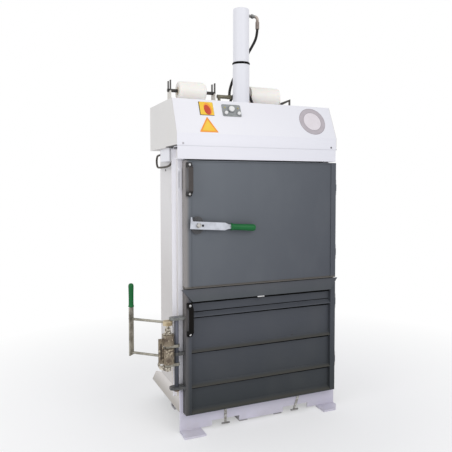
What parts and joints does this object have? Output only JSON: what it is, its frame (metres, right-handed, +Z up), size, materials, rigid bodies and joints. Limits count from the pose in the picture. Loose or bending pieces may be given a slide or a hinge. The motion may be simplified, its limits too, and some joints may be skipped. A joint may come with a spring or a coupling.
{
  "type": "vertical recycling baler",
  "caption": "Free-standing vertical baler for card and film, with a grey two-part door, green latch levers, a tall press cylinder and strap rolls on its hood.",
  "frame": {"origin": "On the floor under the machine, at the middle of the doors' width, on the underside of the middle cross bearer of the base.", "axes": "+Z up, the doors face -Y, +X to the right of someone facing the doors."},
  "size_m": [1.2616, 0.661, 2.44],
  "materials": {
    "pale_paint": "cream-white powder coat, satin",
    "hood_paint": "white powder coat, satin",
    "base_paint": "pale lilac-grey powder coat, satin, scuffed",
    "upper_door_paint": "mid grey powder coat, satin",
    "lower_door_paint": "dark slate powder coat, satin, worn at the folds",
    "rod_paint": "dark blue-grey paint, satin",
    "bright_steel": "bright zinc plate, brushed",
    "zinc_steel": "yellow-zinc plate, tarnished and greasy",
    "green_grip": "green moulded grip, glossy",
    "black_plastic": "black moulded plastic, fine grain",
    "black_rubber": "black hose and cable rubber",
    "strap_roll": "cream wound strap, edges of the turns showing",
    "sign_yellow": "yellow film, glossy",
    "badge_film": "pale film with a grey ring",
    "panel_grey": "grey control plate",
    "button_white": "white push button",
    "dark_steel": "dark phosphated steel",
    "machine_grey": "machine grey paint",
    "chrome_rod": "ground and chromed piston rod"
  },
  "bodies": {
    "frame": {"base_front_plate": "base_paint", "base_bearers": "base_paint", "chamber_floor": "base_paint", "side_skirts": "pale_paint", "t_hooks": "bright_steel", "side_wall_left": "pale_paint", "side_wall_right": "pale_paint", "rear_wall": "pale_paint", "cylinder_deck": "machine_grey", "head_beam": "hood_paint", "hood_front_cover": "hood_paint", "hood_side_left": "pale_paint", "hood_side_right": "pale_paint", "hood_top_cover": "hood_paint", "hood_screws": "bright_steel", "front_signs": "sign_yellow", "round_badge": "badge_film", "control_plate": "panel_grey", "hinge_lugs": "pale_paint", "hinge_pins": "bright_steel", "latch_keepers": "pale_paint", "cylinder_barrel": "hood_paint", "cylinder_ring": "black_plastic", "cylinder_cap_tube": "hood_paint", "hydraulic_fittings": "dark_steel", "hydraulic_hoses": "black_rubber", "cable_loop": "black_rubber", "roll_stands": "pale_paint", "roll_spindles": "dark_steel", "oil_tank": "machine_grey", "pump_unit": "machine_grey", "door_switch": "hood_paint", "blank_plate": "pale_paint"},
    "platen": {"press_platen": "machine_grey", "piston_rod": "chrome_rod"},
    "upper_door": {"upper_door_frame": "upper_door_paint", "upper_door_panel": "upper_door_paint", "upper_door_handle": "black_plastic", "lever_boss": "upper_door_paint"},
    "upper_lever": {"lever_bar": "bright_steel", "lever_grip": "green_grip", "lever_spindle": "bright_steel"},
    "lower_door": {"lower_door_frame": "lower_door_paint", "lower_door_panel": "lower_door_paint", "lower_door_ribs": "lower_door_paint", "lower_door_lip": "lower_door_paint", "lower_door_handle": "black_plastic", "rod_clasps": "zinc_steel", "latch_rod": "rod_paint"},
    "yoke": {"latch_yoke": "zinc_steel", "latch_spindle": "zinc_steel"},
    "latch_lever": {"latch_barrel": "zinc_steel", "slotted_strap": "zinc_steel", "lever_frame": "zinc_steel", "side_grip": "green_grip"},
    "roll_left": {"strap_roll_left": "strap_roll"},
    "roll_right": {"strap_roll_right": "strap_roll"},
    "main_button": {"button_main": "button_white"},
    "left_button": {"button_left": "button_white"},
    "right_button": {"button_right": "button_white"}
  },
  "joints": [
    {"name": "platen_press", "type": "slide", "parent": "frame", "child": "platen", "axis": [0, 0, -1], "range_m": [0, 0.74]},
    {"name": "upper_door_swing", "type": "hinge", "parent": "frame", "child": "upper_door", "pos_m": [0.495, -0.245, 1.1565], "axis": [0, 0, 1], "range_deg": [0, 110]},
    {"name": "upper_lever_turn", "type": "hinge", "parent": "upper_door", "child": "upper_lever", "pos_m": [-0.413, -0.305, 1.154], "axis": [0, -1, 0], "range_deg": [-80, 8]},
    {"name": "lower_door_swing", "type": "hinge", "parent": "frame", "child": "lower_door", "pos_m": [0.495, -0.245, 0.4725], "axis": [0, 0, 1], "range_deg": [0, 110]},
    {"name": "yoke_swing", "type": "hinge", "parent": "lower_door", "child": "yoke", "pos_m": [-0.525, -0.26, 0.45], "axis": [0, 0, 1], "range_deg": [0, 60]},
    {"name": "latch_lever_turn", "type": "hinge", "parent": "yoke", "child": "latch_lever", "pos_m": [-0.574, -0.262, 0.5], "axis": [0, 0, 1], "range_deg": [-8, 100]},
    {"name": "roll_left_turn", "type": "hinge", "parent": "frame", "child": "roll_left", "pos_m": [-0.321, 0.075, 1.932], "axis": [1, 0, 0], "continuous": true},
    {"name": "roll_right_turn", "type": "hinge", "parent": "frame", "child": "roll_right", "pos_m": [0.16275, 0.075, 1.932], "axis": [1, 0, 0], "continuous": true},
    {"name": "main_button_press", "type": "slide", "parent": "frame", "child": "main_button", "axis": [0, 0.9159, -0.4013], "range_m": [0, 0.004], "stiffness_N_per_m": 500},
    {"name": "left_button_press", "type": "slide", "parent": "frame", "child": "left_button", "axis": [0, 0.9159, -0.4013], "range_m": [0, 0.004], "stiffness_N_per_m": 500},
    {"name": "right_button_press", "type": "slide", "parent": "frame", "child": "right_button", "axis": [0, 0.9159, -0.4013], "range_m": [0, 0.004], "stiffness_N_per_m": 500}
  ]
}
